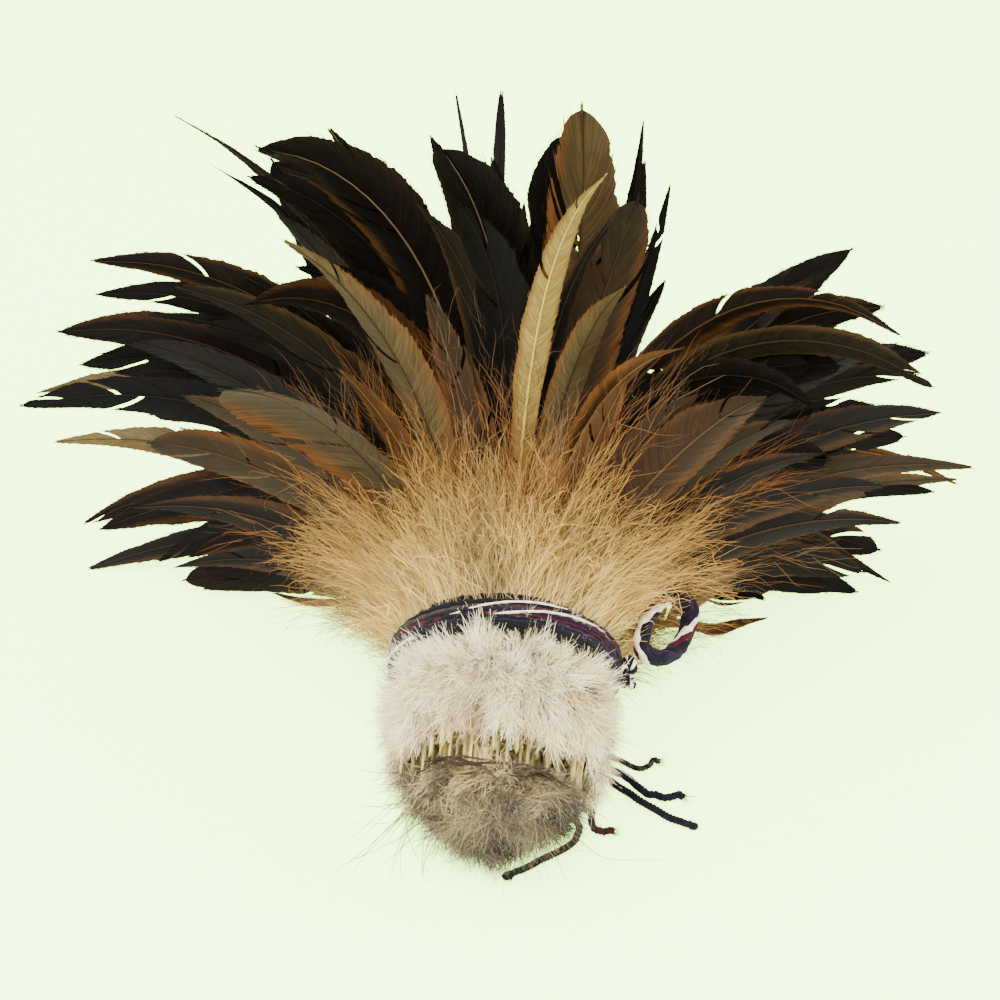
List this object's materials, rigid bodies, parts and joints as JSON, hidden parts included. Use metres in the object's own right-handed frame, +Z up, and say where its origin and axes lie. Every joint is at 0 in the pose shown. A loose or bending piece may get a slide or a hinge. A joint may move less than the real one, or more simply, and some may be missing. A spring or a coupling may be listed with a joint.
{
  "type": "strung feather bundle",
  "caption": "Roll of strung rooster feathers tied with a hank of yarn, with a hanging loop and loose tails, lying on a table with the feathers fanning out.",
  "frame": {"origin": "on the table, in the middle of the bundle's footprint", "axes": "+Z up from the table; +Y the way the feathers point, away from the cut quills; +X to the right seen from the quill end"},
  "size_m": [0.2475, 0.1765, 0.1758],
  "materials": {
    "quill": "natural horn, hollow, cut square",
    "sewing_thread": "matt cotton",
    "yarn_navy": "soft twisted yarn",
    "yarn_white": "soft twisted yarn",
    "yarn_maroon": "soft twisted yarn",
    "yarn_olive": "heathered twisted yarn",
    "yarn_pink": "soft twisted yarn",
    "loop_cord": "the tie yarns twisted together",
    "dark_feather": "glossy black-brown vane, pale shaft",
    "olive_feather": "olive and tan vane with a ginger edge",
    "ginger_feather": "ginger and straw-coloured vane",
    "dried_barbs": "dry, dark, curled"
  },
  "bodies": {
    "bundle": {"quills_turn_1": "quill", "quills_turn_2": "quill", "quills_turn_3": "quill", "quills_turn_4": "quill", "quills_turn_5": "quill", "quills_turn_6": "quill", "stringing_thread_rear": "sewing_thread", "stringing_thread_front": "sewing_thread", "yarn_navy": "yarn_navy", "yarn_white": "yarn_white", "yarn_maroon": "yarn_maroon", "yarn_olive": "yarn_olive", "yarn_pink": "yarn_pink", "tie_knot": "loop_cord", "core_dark_feathers": "dark_feather", "core_ginger_feathers": "ginger_feather", "ground_left_dark_feathers": "dark_feather", "ground_left_ginger_feathers": "ginger_feather", "ground_right_dark_feathers": "dark_feather", "ground_right_ginger_feathers": "ginger_feather", "curled_barb_strips": "dried_barbs"},
    "hanging_loop": {"tie_loop": "loop_cord"},
    "side_tails": {"tail_black_long": "yarn_navy", "tail_navy": "yarn_navy", "tail_olive": "yarn_olive"},
    "front_tails": {"tail_black_front": "yarn_navy", "tail_maroon": "yarn_maroon"},
    "left_tuft": {"left_dark_feathers": "dark_feather", "left_olive_feathers": "olive_feather", "left_ginger_feathers": "ginger_feather"},
    "upper_left_tuft": {"upper_left_dark_feathers": "dark_feather", "upper_left_olive_feathers": "olive_feather", "upper_left_ginger_feathers": "ginger_feather"},
    "top_tuft": {"top_dark_feathers": "dark_feather", "top_olive_feathers": "olive_feather", "top_ginger_feathers": "ginger_feather"},
    "upper_right_tuft": {"upper_right_dark_feathers": "dark_feather", "upper_right_olive_feathers": "olive_feather", "upper_right_ginger_feathers": "ginger_feather"},
    "right_tuft": {"right_dark_feathers": "dark_feather", "right_olive_feathers": "olive_feather", "right_ginger_feathers": "ginger_feather"}
  },
  "joints": [
    {"name": "left_flex", "type": "hinge", "parent": "bundle", "child": "left_tuft", "pos_m": [-0.01234, -0.03458, 0.04214], "axis": [0.2079, -0.3345, 0.9192], "range_deg": [0, 8], "stiffness_Nm_per_rad": 0.12},
    {"name": "upper_left_flex", "type": "hinge", "parent": "bundle", "child": "upper_left_tuft", "pos_m": [-0.00414, -0.0389, 0.054], "axis": [0.809, -0.201, 0.5523], "range_deg": [0, 8], "stiffness_Nm_per_rad": 0.12},
    {"name": "top_flex", "type": "hinge", "parent": "bundle", "child": "top_tuft", "pos_m": [0.0093, -0.04027, 0.05774], "axis": [0.9986, 0.0179, -0.0492], "range_deg": [0, 8], "stiffness_Nm_per_rad": 0.12},
    {"name": "upper_right_flex", "type": "hinge", "parent": "bundle", "child": "upper_right_tuft", "pos_m": [0.02225, -0.03843, 0.0527], "axis": [0.7431, 0.2289, -0.6288], "range_deg": [0, 8], "stiffness_Nm_per_rad": 0.12},
    {"name": "right_flex", "type": "hinge", "parent": "bundle", "child": "right_tuft", "pos_m": [0.02888, -0.03434, 0.04146], "axis": [0.1736, 0.3368, -0.9254], "range_deg": [0, 8], "stiffness_Nm_per_rad": 0.12},
    {"name": "loop_swing", "type": "hinge", "parent": "bundle", "child": "hanging_loop", "pos_m": [0.03904, -0.03883, 0.0348], "axis": [-0.0349, 0.3418, -0.9391], "range_deg": [-3, 30], "stiffness_Nm_per_rad": 0.002},
    {"name": "side_tails_swing", "type": "hinge", "parent": "bundle", "child": "side_tails", "pos_m": [0.0317, -0.0507, 0.014], "axis": [0, 0, 1], "range_deg": [-10, 8], "stiffness_Nm_per_rad": 0.001},
    {"name": "front_tails_swing", "type": "hinge", "parent": "bundle", "child": "front_tails", "pos_m": [0.0287, -0.0602, 0.008], "axis": [0, 0, 1], "range_deg": [-10, 15], "stiffness_Nm_per_rad": 0.001}
  ]
}
